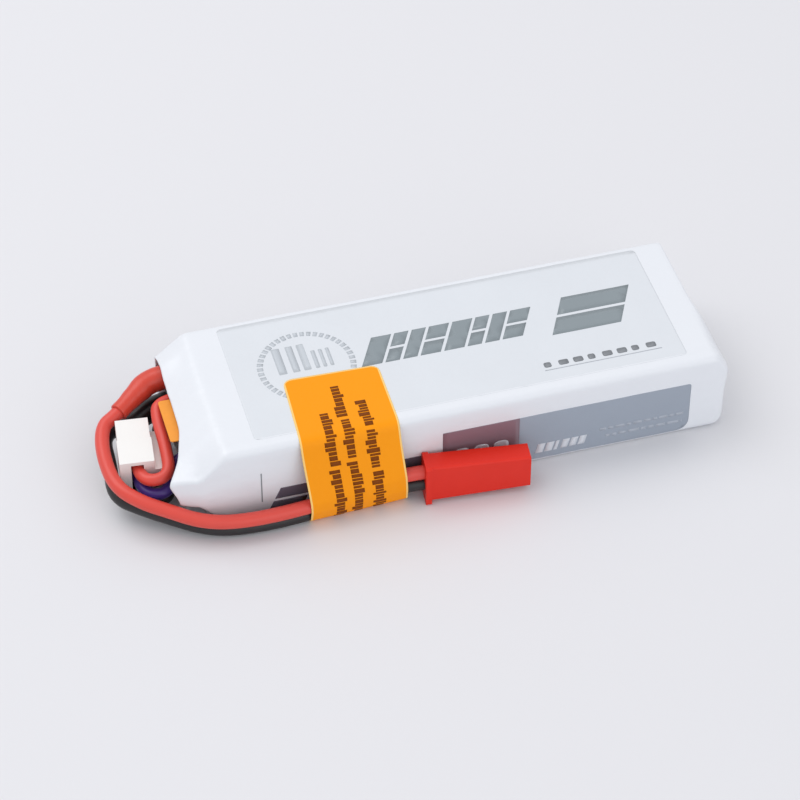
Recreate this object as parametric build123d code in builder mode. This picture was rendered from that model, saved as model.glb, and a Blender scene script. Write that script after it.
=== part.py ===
from build123d import *
import math
import os

# A two-cell lithium polymer pack in a printed shrink wrap, with its main leads laid along the
# front side under an adhesive seal label and a three-way balance plug at the lead end.
# Millimetres.  X runs along the pack towards its closed end, -Y is the lead side, Z is up,
# and the origin is the centre of the underside.

os.makedirs("parts", exist_ok=True)

# ---- wrap -----------------------------------------------------------------------------------
BODY_LENGTH = 85.0        # straight part, from the lead-end ridge to the closed-end ridge
BODY_WIDTH = 31.0
BODY_HEIGHT = 16.0
BODY_CORNER = 2.0
FILM = 0.3
MOUTH_REACH = 6.6         # how far the shrunk film reaches past the lead-end ridge
MOUTH_WIDTH = 28.0
MOUTH_HEIGHT = 10.0
MOUTH_CORNER = 2.4
CLOSED_REACH = 1.3        # how far the film turns over past the closed-end ridge
CLOSED_WIDTH = 27.6
CLOSED_HEIGHT = 12.6
MID_HEIGHT = BODY_HEIGHT / 2
LEAD_RIDGE_X = -BODY_LENGTH / 2
CLOSED_RIDGE_X = BODY_LENGTH / 2
MOUTH_X = LEAD_RIDGE_X - MOUTH_REACH
END_X = CLOSED_RIDGE_X + CLOSED_REACH

# ---- cells ----------------------------------------------------------------------------------
CELL_LENGTH = 82.5
CELL_WIDTH = 29.3         # pouch body without its folded side seals
CELL_THICKNESS = 7.45
CELL_CORNER = 1.2
POUCH_WALL = 0.2
SIDE_SEAL = 0.45          # thickness of a side seal folded against the pouch
SIDE_SEAL_HEIGHT = 4.0
SIDE_SEAL_SETBACK = 1.5   # of a side seal's ends from the pouch's ends
SEAL_ROOT = 0.05          # how deep a side seal is rooted in the pouch's wall
BOND_TAPE = 0.3
CELL_BASE = 0.4
LOWER_MID = CELL_BASE + CELL_THICKNESS / 2
UPPER_MID = LOWER_MID + CELL_THICKNESS + BOND_TAPE
CELL_FRONT_X = LEAD_RIDGE_X + 0.3
CELL_REAR_X = CELL_FRONT_X + CELL_LENGTH
CELL_MID_X = (CELL_FRONT_X + CELL_REAR_X) / 2
TERRACE_REACH = 1.7       # top seal of a pouch, where its tabs come out
TERRACE_WIDTH = 26.0
TERRACE_THICKNESS = 0.5
LOWER_TERRACE_Z = 5.8
UPPER_TERRACE_Z = 10.2
STACK_GAP = 2.6           # space inside the pouch between the electrodes and the top seal
STACK_REAR_GAP = 0.1
STACK_SIDE_GAP = 0.3
STACK_FACE_GAP = 0.05
STACK_CORNER = 0.8

# ---- tabs and joints --------------------------------------------------------------------------
TAB_WIDTH = 8.0
TAB_THICKNESS = 0.2
TAB_Y = 7.6
TAB_X = CELL_FRONT_X - TERRACE_REACH - 1.8
SEALANT_WIDTH = 10.0
SEALANT_THICKNESS = 0.3
SEALANT_REACH = 0.4

# ---- leads ----------------------------------------------------------------------------------
MAIN_OD = 2.4
MAIN_CORE = 1.2
SLEEVE_OD = 3.4
SLEEVE_CLEARANCE = 0.02
BALANCE_OD = 1.9
BALANCE_CORE = 0.8
BLACK_Z = 1.35            # axis height of the black main lead where it lies on the floor
RED_Z = BLACK_Z + 2.43    # the red lead lies on top of it
PLUG_STRAIGHT = 4.2       # straight run of a main lead into its plug
TURN_WIDTH = 5.1          # across the U-turn of a balance lead
LEAD_START_X = TAB_X - 0.1
MAIN_CORE_LIFT = TAB_THICKNESS / 2 + MAIN_CORE / 2        # a strand's axis above its tab
BALANCE_CORE_LIFT = TAB_THICKNESS / 2 + BALANCE_CORE / 2

# ---- main plug --------------------------------------------------------------------------------
PLUG_REAR = (-9.9, -17.85)
PLUG_YAW = -5.8
PLUG_LENGTH = 17.6
FLANGE_LENGTH = 1.0       # collar round the wire end, standing on the floor
FLANGE_DEPTH = 4.6
FLANGE_HEIGHT = 8.3
FLANGE_CORNER = 0.5
PLUG_MID = 4.45           # axis height of the body and its contacts
PLUG_DEPTH = 3.95         # body behind the collar, across the two narrow walls
PLUG_HEIGHT = 7.5
PLUG_CORNER = 0.45
PLUG_MOUTH_DEPTH = 3.75
PLUG_MOUTH_HEIGHT = 6.6
PLUG_PITCH = 2.5
PLUG_WALL = 0.55
TOWER = 2.2               # outside of the square tower round each contact
TOWER_BACK = 7.0
TOWER_FRONT = 15.6
CONTACT_HOLE = 1.8
PIN_HOLE = 1.2
LATCH_START = 11.6
LATCH_LENGTH = 2.4
LATCH_HEIGHT = 2.6
LATCH_CUT = 1.6

# ---- balance plug -----------------------------------------------------------------------------
BALANCE_CORNER = (-58.2, -6.45)
BALANCE_YAW = -6.7
BALANCE_DEPTH = 5.75      # without the guide ribs
BALANCE_LENGTH = 10.4
BALANCE_HEIGHT = 9.8
BALANCE_PITCH = 2.5
BALANCE_AXIS = 2.9
BALANCE_RECESS = 2.5
BALANCE_SLOT = 2.1        # width of the slot that the leads leave through
BALANCE_WALL = 0.7        # above and below the slot
MATING_START = 5.6        # the mating half is slimmer than the wire half
BALANCE_LIP = 0.15
RIB_REACH = 1.2
RIB_LENGTH = 8.8
RIB_THICKNESS = 0.9
CAVITY = 1.9

# ---- seal label -------------------------------------------------------------------------------
LABEL_THICKNESS = 0.12
LABEL_WIDTH = 16.0
LABEL_X = -21.4
LABEL_TOP_REACH = 14.3    # from the front ridge over the top face
LABEL_BULGE = 4.2         # how far it stands off the side to pass round the leads
LABEL_UNDER_REACH = 6.5
LABEL_HIGH_Z = 13.0       # where it leaves the side
LABEL_OUT_Z = 5.4
LABEL_IN_Z = 3.0
LABEL_FOOT = 3.1          # how far off the side it meets the floor
LABEL_BEND = 1.2
LABEL_FOOT_BEND = 0.6
RECESS_MARGIN = 0.1
RECESS_DEPTH = LABEL_THICKNESS + 0.01


def across(x, z=MID_HEIGHT):
    """A plane across the pack at x: its own x runs along +Y and its y along +Z."""
    return Plane(origin=(x, 0, z), x_dir=(0, 1, 0), z_dir=(1, 0, 0))


def tilted(corner, yaw):
    """A frame lying on the floor at a corner, turned about Z."""
    return Plane(origin=(corner[0], corner[1], 0)).rotated((0, 0, yaw))


def corner_radii(points):
    """The largest radius each corner of a route has room for."""
    radii = []
    for before, corner, after in zip(points, points[1:], points[2:]):
        arriving = Vector(*corner) - Vector(*before)
        leaving = Vector(*after) - Vector(*corner)
        half_turn = math.radians(arriving.get_angle(leaving) / 2)
        radii.append(0.45 * min(arriving.length, leaving.length) / math.tan(half_turn))
    return radii


def finish(builder, name):
    """Name a sub-part and write its file."""
    builder.part.label = name
    export_step(builder.part, f"parts/{name}.step")


# ---- shrink wrap ------------------------------------------------------------------------------
def film_body(shrink):
    """The wrap's outer form, drawn in by a distance: two end tapers and a straight middle."""
    with BuildPart() as form:
        stations = [
            (MOUTH_X, MOUTH_WIDTH, MOUTH_HEIGHT, MOUTH_CORNER),
            (LEAD_RIDGE_X, BODY_WIDTH, BODY_HEIGHT, BODY_CORNER),
            (CLOSED_RIDGE_X, BODY_WIDTH, BODY_HEIGHT, BODY_CORNER),
            (END_X, CLOSED_WIDTH, CLOSED_HEIGHT, BODY_CORNER),
        ]
        for near, far in zip(stations, stations[1:]):
            for x, width, height, corner in (near, far):
                with BuildSketch(across(x)):
                    RectangleRounded(width - 2 * shrink, height - 2 * shrink, corner - shrink)
            loft(ruled=True)
    return form.part


with BuildPart() as shrink_wrap:
    add(film_body(0.0))
    add(film_body(FILM), mode=Mode.SUBTRACT)
    # shallow recess under the pack for the end of the seal label
    with BuildSketch(Plane.XY):
        with Locations((LABEL_X, -BODY_WIDTH / 2 + LABEL_UNDER_REACH / 2)):
            Rectangle(LABEL_WIDTH + RECESS_MARGIN, LABEL_UNDER_REACH + RECESS_MARGIN)
    extrude(amount=RECESS_DEPTH, mode=Mode.SUBTRACT)
finish(shrink_wrap, "shrink_wrap")


# ---- cells --------------------------------------------------------------------------------------
def cell_pouch(mid_z, terrace_z, name):
    """A foil pouch: hollow body, two folded side seals and the top seal with its slots."""
    with BuildPart() as pouch:
        with BuildSketch(across(CELL_FRONT_X, mid_z)):
            RectangleRounded(CELL_WIDTH, CELL_THICKNESS, CELL_CORNER)
        extrude(amount=CELL_LENGTH)
        for side in (-1, 1):
            with Locations((CELL_MID_X, side * (CELL_WIDTH + SIDE_SEAL - SEAL_ROOT) / 2, mid_z)):
                Box(CELL_LENGTH - 2 * SIDE_SEAL_SETBACK, SIDE_SEAL + SEAL_ROOT, SIDE_SEAL_HEIGHT)
        with Locations((CELL_FRONT_X - TERRACE_REACH / 2, 0, terrace_z)):
            Box(TERRACE_REACH, TERRACE_WIDTH, TERRACE_THICKNESS)
        inner_width = CELL_WIDTH - 2 * POUCH_WALL
        inner_thickness = CELL_THICKNESS - 2 * POUCH_WALL
        with BuildSketch(across(CELL_FRONT_X + POUCH_WALL, mid_z)):
            RectangleRounded(inner_width, inner_thickness, CELL_CORNER - POUCH_WALL)
        extrude(amount=CELL_LENGTH - 2 * POUCH_WALL, mode=Mode.SUBTRACT)
        for side in (-1, 1):
            with Locations((CELL_FRONT_X - TERRACE_REACH / 2, side * TAB_Y, terrace_z)):
                Box(TERRACE_REACH + 1, SEALANT_WIDTH, SEALANT_THICKNESS, mode=Mode.SUBTRACT)
    finish(pouch, name)


def electrode_stack(mid_z, name):
    """The stacked electrodes and separator of one cell."""
    length = CELL_LENGTH - 2 * POUCH_WALL - STACK_GAP - 2 * STACK_REAR_GAP
    width = CELL_WIDTH - 2 * (POUCH_WALL + STACK_SIDE_GAP)
    thickness = CELL_THICKNESS - 2 * (POUCH_WALL + STACK_FACE_GAP)
    with BuildPart() as stack:
        with BuildSketch(across(CELL_REAR_X - POUCH_WALL - STACK_REAR_GAP - length, mid_z)):
            RectangleRounded(width, thickness, STACK_CORNER)
        extrude(amount=length)
    finish(stack, name)


def straight_tab(side, terrace_z, name):
    """A flat tab from inside the pouch out through the top seal."""
    inner_end = CELL_FRONT_X + POUCH_WALL + STACK_GAP
    with BuildPart() as tab:
        with Locations(((inner_end + TAB_X) / 2, side * TAB_Y, terrace_z)):
            Box(inner_end - TAB_X, TAB_WIDTH, TAB_THICKNESS)
    finish(tab, name)
    return tab


def folded_tab(side, terrace_z, fold_x, fold_end_z, name):
    """A tab whose end is folded towards the other cell to make the series joint."""
    inner_end = CELL_FRONT_X + POUCH_WALL + STACK_GAP
    rise = fold_end_z - terrace_z
    reach = abs(rise) + TAB_THICKNESS / 2
    leg_mid = (terrace_z - math.copysign(TAB_THICKNESS / 2, rise) + fold_end_z) / 2
    with BuildPart() as tab:
        with Locations(((inner_end + fold_x) / 2, side * TAB_Y, terrace_z)):
            Box(inner_end - fold_x, TAB_WIDTH, TAB_THICKNESS)
        with Locations((fold_x + TAB_THICKNESS / 2, side * TAB_Y, leg_mid)):
            Box(TAB_THICKNESS, TAB_WIDTH, reach)
    finish(tab, name)
    return tab


cell_pouch(LOWER_MID, LOWER_TERRACE_Z, "lower_cell_pouch")
cell_pouch(UPPER_MID, UPPER_TERRACE_Z, "upper_cell_pouch")
electrode_stack(LOWER_MID, "lower_cell_electrode_stack")
electrode_stack(UPPER_MID, "upper_cell_electrode_stack")
lower_negative = straight_tab(1, LOWER_TERRACE_Z, "lower_cell_negative_tab")
upper_positive = straight_tab(1, UPPER_TERRACE_Z, "upper_cell_positive_tab")
LAP_END = MID_HEIGHT + 1.2
lower_positive = folded_tab(-1, LOWER_TERRACE_Z, TAB_X, LAP_END, "lower_cell_positive_tab")
upper_negative = folded_tab(
    -1, UPPER_TERRACE_Z, TAB_X + TAB_THICKNESS, 2 * MID_HEIGHT - LAP_END, "upper_cell_negative_tab"
)

# one strip round each tab, through the top seal and a little past it
SEALANT_LENGTH = TERRACE_REACH + SEALANT_REACH
strip_middles = [
    (CELL_FRONT_X - SEALANT_LENGTH / 2, side * TAB_Y, terrace_z)
    for side in (-1, 1)
    for terrace_z in (LOWER_TERRACE_Z, UPPER_TERRACE_Z)
]
with BuildPart() as tab_sealant_strips:
    with Locations(*strip_middles):
        Box(SEALANT_LENGTH, SEALANT_WIDTH, SEALANT_THICKNESS)
        Box(2 * SEALANT_LENGTH, TAB_WIDTH, TAB_THICKNESS, mode=Mode.SUBTRACT)
finish(tab_sealant_strips, "tab_sealant_strips")

# the tape between the cells stops short of their edges
BOND_END_MARGIN = 5.0
BOND_SIDE_MARGIN = 2.5
with BuildPart() as cell_bonding_tape:
    with Locations((CELL_MID_X, 0, CELL_BASE + CELL_THICKNESS + BOND_TAPE / 2)):
        Box(CELL_LENGTH - 2 * BOND_END_MARGIN, CELL_WIDTH - 2 * BOND_SIDE_MARGIN, BOND_TAPE)
finish(cell_bonding_tape, "cell_bonding_tape")

# polyimide band round both cells
BAND_X = 22.0
BAND_WIDTH = 12.0
BAND_GAP = 0.02           # between the band and the film
BAND_OUTER_WIDTH = BODY_WIDTH - 2 * (FILM + BAND_GAP)
BAND_OUTER_HEIGHT = BODY_HEIGHT - 2 * (FILM + BAND_GAP)
BAND_THICKNESS = 0.06
BAND_CORNER = 1.75
with BuildPart() as cell_binding_tape:
    with BuildSketch(across(BAND_X - BAND_WIDTH / 2)):
        RectangleRounded(BAND_OUTER_WIDTH, BAND_OUTER_HEIGHT, BAND_CORNER)
        RectangleRounded(
            BAND_OUTER_WIDTH - 2 * BAND_THICKNESS,
            BAND_OUTER_HEIGHT - 2 * BAND_THICKNESS,
            BAND_CORNER - BAND_THICKNESS,
            mode=Mode.SUBTRACT,
        )
    extrude(amount=BAND_WIDTH)
finish(cell_binding_tape, "cell_binding_tape")

# insulating card between the folded cell bottoms and the film at the closed end
END_CARD = 0.5
END_CARD_GAP = 0.05
END_CARD_CORNER = 1.0
with BuildPart() as closed_end_card:
    with BuildSketch(across(CELL_REAR_X + END_CARD_GAP)):
        RectangleRounded(CELL_WIDTH, 2 * CELL_THICKNESS, END_CARD_CORNER)
    extrude(amount=END_CARD)
finish(closed_end_card, "closed_end_card")

# orange insulation over the terminals; its edge shows in the mouth
TERMINAL_CARD_Z = 11.75
TERMINAL_CARD_MIDDLE = (-46.2, -0.9)
TERMINAL_CARD_LENGTH = 6.4
TERMINAL_CARD_WIDTH = 9.8
TERMINAL_CARD_CORNER = 0.5
TERMINAL_CARD_THICKNESS = 0.25
with BuildPart() as terminal_insulation_card:
    with BuildSketch(Plane.XY.offset(TERMINAL_CARD_Z)):
        with Locations(TERMINAL_CARD_MIDDLE):
            RectangleRounded(TERMINAL_CARD_LENGTH, TERMINAL_CARD_WIDTH, TERMINAL_CARD_CORNER)
    extrude(amount=TERMINAL_CARD_THICKNESS)
finish(terminal_insulation_card, "terminal_insulation_card")

# ---- plug frames --------------------------------------------------------------------------------
plug_frame = tilted(PLUG_REAR, PLUG_YAW)
plug_across = Plane(
    origin=plug_frame.origin, x_dir=plug_frame.y_dir, z_dir=plug_frame.x_dir
)
balance_frame = tilted(BALANCE_CORNER, BALANCE_YAW)
plug_pins = [PLUG_MID - PLUG_PITCH / 2, PLUG_MID + PLUG_PITCH / 2]
balance_pins = [BALANCE_HEIGHT / 2 + step * BALANCE_PITCH for step in (-1, 0, 1)]


def on_plug(along, across_it, height):
    """A point in the main plug's own frame, as a point of the model."""
    point = plug_frame.from_local_coords(Vector(along, across_it, height))
    return (point.X, point.Y, point.Z)


def on_balance(across_it, along, height):
    """A point in the balance plug's own frame, as a point of the model."""
    point = balance_frame.from_local_coords(Vector(across_it, along, height))
    return (point.X, point.Y, point.Z)


# ---- cord routes --------------------------------------------------------------------------------
# Each main lead starts at its solder joint, leaves the mouth, turns down on to the floor, lies
# along the front side under the label and ends at the rear face of its plug.
RED_CORE_Z = UPPER_TERRACE_Z + MAIN_CORE_LIFT
BLACK_CORE_Z = LOWER_TERRACE_Z - MAIN_CORE_LIFT
red_main_route = [
    (LEAD_START_X, 10.5, RED_CORE_Z), (-48.4, 10.5, RED_CORE_Z), (-58.9, 4.6, 8.2),
    (-60.05, -0.9, 7.5), (-59.6, -8.2, 7.0), (-56.3, -12.1, 6.2), (-51.8, -14.6, 5.1),
    (-47.8, -17.0, 4.3), (-43.6, -18.2, RED_Z), (-38.4, -18.8, RED_Z), (-33.0, -18.7, RED_Z),
    (-27.0, -18.2, RED_Z), (-20.5, -17.7, 4.2),
    on_plug(-PLUG_STRAIGHT, 0, plug_pins[1]), on_plug(0, 0, plug_pins[1]),
]
black_main_route = [
    (LEAD_START_X, 10.3, BLACK_CORE_Z), (-48.6, 10.3, BLACK_CORE_Z), (-58.8, 5.9, 5.3),
    (-59.0, -1.6, 5.0), (-59.85, -8.3, 4.4), (-55.5, -11.5, 3.5), (-51.2, -13.9, 2.5),
    (-47.5, -16.1, 1.9), (-43.4, -17.4, BLACK_Z), (-38.3, -18.0, BLACK_Z),
    (-33.0, -17.95, BLACK_Z), (-27.0, -17.45, BLACK_Z), (-20.5, -17.1, 1.5),
    on_plug(-PLUG_STRAIGHT, 0, plug_pins[0]), on_plug(0, 0, plug_pins[0]),
]


def balance_turn(pin_z, turn_y, far_z):
    """The first points of a balance lead: out of the plug and half way round its U-turn."""
    return [
        on_balance(BALANCE_AXIS, BALANCE_RECESS, pin_z),
        on_balance(BALANCE_AXIS + 0.1, turn_y, pin_z),
        on_balance(BALANCE_AXIS + TURN_WIDTH, turn_y - 0.5, far_z),
    ]


def balance_route(pin_z, turn_y, return_z, tab_y, tab_z):
    """Route of an outer balance lead: its U-turn, along the plug and back into the mouth."""
    return balance_turn(pin_z, turn_y, (pin_z + return_z) / 2) + [
        (-49.9, -3.6, return_z),
        (-50.0, tab_y - 3.4, (return_z + tab_z) / 2),
        (-49.4, tab_y, tab_z),
        (LEAD_START_X, tab_y, tab_z),
    ]


BALANCE_TAB_Y = 5.2
MIDDLE_Y = -4.9
MIDDLE_Z = 7.1
balance_red_route = balance_route(
    balance_pins[2], -2.4, 9.0, BALANCE_TAB_Y, UPPER_TERRACE_Z + BALANCE_CORE_LIFT
)
balance_black_route = balance_route(
    balance_pins[0], -2.3, 4.4, BALANCE_TAB_Y, LOWER_TERRACE_Z + BALANCE_CORE_LIFT
)
balance_middle_route = balance_turn(balance_pins[1], -2.1, 5.6) + [
    (-49.6, MIDDLE_Y, MIDDLE_Z),
    (LEAD_START_X - TAB_THICKNESS, MIDDLE_Y, MIDDLE_Z),
]


def cord(points, diameter, name):
    """A lead: straight runs joined by tangent arcs, swept at its diameter."""
    radii = corner_radii(points)
    with BuildPart() as lead:
        with BuildLine():
            path = FilletPolyline(*points, radius=radii)
        with BuildSketch(Plane(origin=path @ 0, z_dir=path % 0)):
            Circle(diameter / 2)
        sweep()
    expected = math.pi * diameter**2 / 4 * path.length
    tightest = min(radii) / diameter
    print(
        f"{name}: length {path.length:.1f}, volume ratio {lead.part.volume / expected:.4f}, "
        f"radii {[round(radius, 1) for radius in radii]}, tightest {tightest:.1f} diameters"
    )
    finish(lead, name)
    return radii


main_radii = cord(red_main_route, MAIN_OD, "positive_main_lead")
black_radii = cord(black_main_route, MAIN_OD, "negative_main_lead")
cord(balance_red_route, BALANCE_OD, "balance_lead_positive")
cord(balance_middle_route, BALANCE_OD, "balance_lead_middle")
cord(balance_black_route, BALANCE_OD, "balance_lead_negative")


def lead_sleeve(route, radius, reach, name):
    """Heat-shrink sleeve on the first bend of a main lead, ending before its second."""
    start, bend, after = (Vector(*point) for point in route[:3])
    stop = bend + (after - bend) * reach
    with BuildPart() as sleeve:
        with BuildLine():
            path = FilletPolyline(start, bend, stop, radius=[radius])
        with BuildSketch(Plane(origin=path @ 0, z_dir=path % 0)):
            Circle(SLEEVE_OD / 2)
            Circle(MAIN_OD / 2 + SLEEVE_CLEARANCE, mode=Mode.SUBTRACT)
        sweep()
    finish(sleeve, name)


SLEEVE_REACH = 0.72       # part of the way to the second bend
lead_sleeve(red_main_route, main_radii[0], SLEEVE_REACH, "positive_lead_sleeve")
lead_sleeve(black_main_route, black_radii[0], SLEEVE_REACH, "negative_lead_sleeve")

# ---- stripped conductors and solder -------------------------------------------------------------
CORE_REACH = 1.4
MAIN_BARREL = 3.4
BALANCE_BARREL = 2.6

with BuildPart() as main_lead_conductors:
    with BuildSketch(across(LEAD_START_X, 0)):
        with Locations(red_main_route[0][1:], black_main_route[0][1:]):
            Circle(MAIN_CORE / 2)
    extrude(amount=CORE_REACH)
    with BuildSketch(plug_across):
        with Locations(*[(0, pin) for pin in plug_pins]):
            Circle(MAIN_CORE / 2)
    extrude(amount=MAIN_BARREL)
finish(main_lead_conductors, "main_lead_conductors")

balance_across = Plane(
    origin=on_balance(BALANCE_AXIS, BALANCE_RECESS, 0),
    x_dir=(0, 0, 1),
    z_dir=balance_frame.y_dir,
)
with BuildPart() as balance_lead_conductors:
    with BuildSketch(across(LEAD_START_X, 0)):
        with Locations(balance_red_route[-1][1:], balance_black_route[-1][1:]):
            Circle(BALANCE_CORE / 2)
    extrude(amount=CORE_REACH)
    with BuildSketch(across(LEAD_START_X - TAB_THICKNESS, 0)):
        with Locations((MIDDLE_Y, MIDDLE_Z)):
            Circle(BALANCE_CORE / 2)
    extrude(amount=TAB_X - LEAD_START_X + TAB_THICKNESS)
    with BuildSketch(balance_across):
        with Locations(*[(pin, 0) for pin in balance_pins]):
            Circle(BALANCE_CORE / 2)
    extrude(amount=BALANCE_BARREL)
finish(balance_lead_conductors, "balance_lead_conductors")

SOLDER_X = TAB_X + 0.7
MAIN_SOLDER = (1.2, 2.4, 1.3)
MAIN_SOLDER_ASIDE = 0.6
BALANCE_SOLDER = (1.2, 1.8, 0.8)
SERIES_SOLDER = (0.2, 5.6, 1.9)
SERIES_SOLDER_Y = -7.4
SOLDER_ROUND = 0.09
with BuildPart() as solder_joints:
    for route in (red_main_route, black_main_route):
        _, core_y, core_z = route[0]
        with Locations((SOLDER_X, core_y - MAIN_SOLDER_ASIDE, core_z)):
            Box(*MAIN_SOLDER)
    for route in (balance_red_route, balance_black_route):
        _, core_y, core_z = route[-1]
        with Locations((SOLDER_X, core_y, core_z)):
            Box(*BALANCE_SOLDER)
    with Locations((TAB_X - SERIES_SOLDER[0] / 2, SERIES_SOLDER_Y, MID_HEIGHT)):
        Box(*SERIES_SOLDER)
    fillet(solder_joints.edges().filter_by(Axis.X), radius=SOLDER_ROUND)
    add(main_lead_conductors.part, mode=Mode.SUBTRACT)
    add(balance_lead_conductors.part, mode=Mode.SUBTRACT)
    for tab in (lower_negative, upper_positive, lower_positive, upper_negative):
        add(tab.part, mode=Mode.SUBTRACT)
finish(solder_joints, "solder_joints")

# ---- main plug ----------------------------------------------------------------------------------
BARREL_OD = 1.7
SOCKET = 1.6
SOCKET_BORE = 1.0
CONTACT_END_GAP = 0.1
SOCKET_FRONT = 13.6
SOCKET_DEPTH = 6.0
CONTACT_REAR = 0.2        # a contact's rear end from the face that the leads enter
BARREL_PAST = 0.4         # how far a barrel runs past its strands, its setback counted
with BuildPart() as main_plug_housing:
    with BuildSketch(plug_across):
        with Locations((0, FLANGE_HEIGHT / 2)):
            RectangleRounded(FLANGE_DEPTH, FLANGE_HEIGHT, FLANGE_CORNER)
    extrude(amount=FLANGE_LENGTH)
    for station, depth, height in (
        (FLANGE_LENGTH, PLUG_DEPTH, PLUG_HEIGHT),
        (PLUG_LENGTH, PLUG_MOUTH_DEPTH, PLUG_MOUTH_HEIGHT),
    ):
        with BuildSketch(plug_across.offset(station)):
            with Locations((0, PLUG_MID)):
                RectangleRounded(depth, height, PLUG_CORNER)
    loft()
    # hood: an open pocket with a tower round each contact
    with BuildSketch(plug_across.offset(TOWER_BACK)):
        with Locations((0, PLUG_MID)):
            Rectangle(PLUG_MOUTH_DEPTH - 2 * PLUG_WALL, PLUG_MOUTH_HEIGHT - 2 * PLUG_WALL)
    extrude(amount=PLUG_LENGTH, mode=Mode.SUBTRACT)
    with BuildSketch(plug_across.offset(TOWER_BACK)):
        with Locations(*[(0, pin) for pin in plug_pins]):
            Rectangle(TOWER, TOWER)
    extrude(amount=TOWER_FRONT - TOWER_BACK)
    # contact cavities from the rear, pin holes from the front
    with BuildSketch(plug_across):
        with Locations(*[(0, pin) for pin in plug_pins]):
            Rectangle(CONTACT_HOLE, CONTACT_HOLE)
    extrude(amount=SOCKET_FRONT + CONTACT_END_GAP, mode=Mode.SUBTRACT)
    with BuildSketch(plug_across.offset(SOCKET_FRONT)):
        with Locations(*[(0, pin) for pin in plug_pins]):
            Rectangle(PIN_HOLE, PIN_HOLE)
    extrude(amount=PLUG_LENGTH, mode=Mode.SUBTRACT)
    # latch window in the wall that faces the pack
    with BuildSketch(plug_across.offset(LATCH_START)):
        with Locations((PLUG_MOUTH_DEPTH / 2, PLUG_MID)):
            Rectangle(LATCH_CUT, LATCH_HEIGHT)
    extrude(amount=LATCH_LENGTH, mode=Mode.SUBTRACT)
finish(main_plug_housing, "main_plug_housing")

with BuildPart() as main_plug_contacts:
    with BuildSketch(plug_across.offset(CONTACT_REAR)):
        with Locations(*[(0, pin) for pin in plug_pins]):
            Circle(BARREL_OD / 2)
    extrude(amount=MAIN_BARREL + BARREL_PAST - CONTACT_REAR)
    with BuildSketch(plug_across.offset(MAIN_BARREL + BARREL_PAST)):
        with Locations(*[(0, pin) for pin in plug_pins]):
            Rectangle(SOCKET, SOCKET)
    extrude(amount=SOCKET_FRONT - MAIN_BARREL - BARREL_PAST)
    with BuildSketch(plug_across.offset(SOCKET_FRONT - SOCKET_DEPTH)):
        with Locations(*[(0, pin) for pin in plug_pins]):
            Rectangle(SOCKET_BORE, SOCKET_BORE)
    extrude(amount=SOCKET_DEPTH, mode=Mode.SUBTRACT)
    add(main_lead_conductors.part, mode=Mode.SUBTRACT)
finish(main_plug_contacts, "main_plug_contacts")

# ---- balance plug ---------------------------------------------------------------------------------
with BuildPart() as balance_plug_housing:
    with BuildSketch(balance_frame):
        with Locations((BALANCE_DEPTH / 2, MATING_START / 2)):
            Rectangle(BALANCE_DEPTH, MATING_START)
    extrude(amount=BALANCE_HEIGHT)
    with BuildSketch(balance_frame.offset(BALANCE_LIP)):
        with Locations((BALANCE_DEPTH / 2, (BALANCE_LENGTH + MATING_START) / 2)):
            Rectangle(BALANCE_DEPTH - 2 * BALANCE_LIP, BALANCE_LENGTH - MATING_START)
    extrude(amount=BALANCE_HEIGHT - 2 * BALANCE_LIP)
    # slot for the leads, open at the wire end
    with BuildSketch(balance_frame.offset(BALANCE_WALL)):
        with Locations((BALANCE_AXIS, 0)):
            Rectangle(BALANCE_SLOT, 2 * BALANCE_RECESS)
    extrude(amount=BALANCE_HEIGHT - 2 * BALANCE_WALL, mode=Mode.SUBTRACT)
    # guide ribs on the face towards the pack, rooted in the wall
    rib_root = BALANCE_DEPTH - BALANCE_WALL / 2
    for rib_z in (balance_pins[0], balance_pins[2]):
        with BuildSketch(balance_frame.offset(rib_z - RIB_THICKNESS / 2)):
            with Locations((rib_root, 0)):
                Rectangle(
                    BALANCE_DEPTH + RIB_REACH - rib_root, RIB_LENGTH, align=(Align.MIN, Align.MIN)
                )
        extrude(amount=RIB_THICKNESS)
    # contact cavities right through
    with BuildSketch(balance_across):
        with Locations(*[(pin, 0) for pin in balance_pins]):
            Rectangle(CAVITY, CAVITY)
    extrude(amount=BALANCE_LENGTH, mode=Mode.SUBTRACT)
finish(balance_plug_housing, "balance_plug_housing")

BALANCE_CONTACT_END = BALANCE_LENGTH - BALANCE_RECESS - 0.6
BALANCE_CONTACT_REAR = 0.1
BALANCE_BARREL_PAST = 0.3
BALANCE_BARREL_RADIUS = 0.7
BALANCE_SOCKET = 1.6
BALANCE_SOCKET_BORE = 0.9
BALANCE_SOCKET_DEPTH = 3.5
BALANCE_SOCKET_START = BALANCE_BARREL + BALANCE_BARREL_PAST
with BuildPart() as balance_plug_contacts:
    with BuildSketch(balance_across.offset(BALANCE_CONTACT_REAR)):
        with Locations(*[(pin, 0) for pin in balance_pins]):
            Circle(BALANCE_BARREL_RADIUS)
    extrude(amount=BALANCE_SOCKET_START - BALANCE_CONTACT_REAR)
    with BuildSketch(balance_across.offset(BALANCE_SOCKET_START)):
        with Locations(*[(pin, 0) for pin in balance_pins]):
            Rectangle(BALANCE_SOCKET, BALANCE_SOCKET)
    extrude(amount=BALANCE_CONTACT_END - BALANCE_SOCKET_START)
    with BuildSketch(balance_across.offset(BALANCE_CONTACT_END - BALANCE_SOCKET_DEPTH)):
        with Locations(*[(pin, 0) for pin in balance_pins]):
            Rectangle(BALANCE_SOCKET_BORE, BALANCE_SOCKET_BORE)
    extrude(amount=BALANCE_SOCKET_DEPTH, mode=Mode.SUBTRACT)
    add(balance_lead_conductors.part, mode=Mode.SUBTRACT)
finish(balance_plug_contacts, "balance_plug_contacts")

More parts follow.
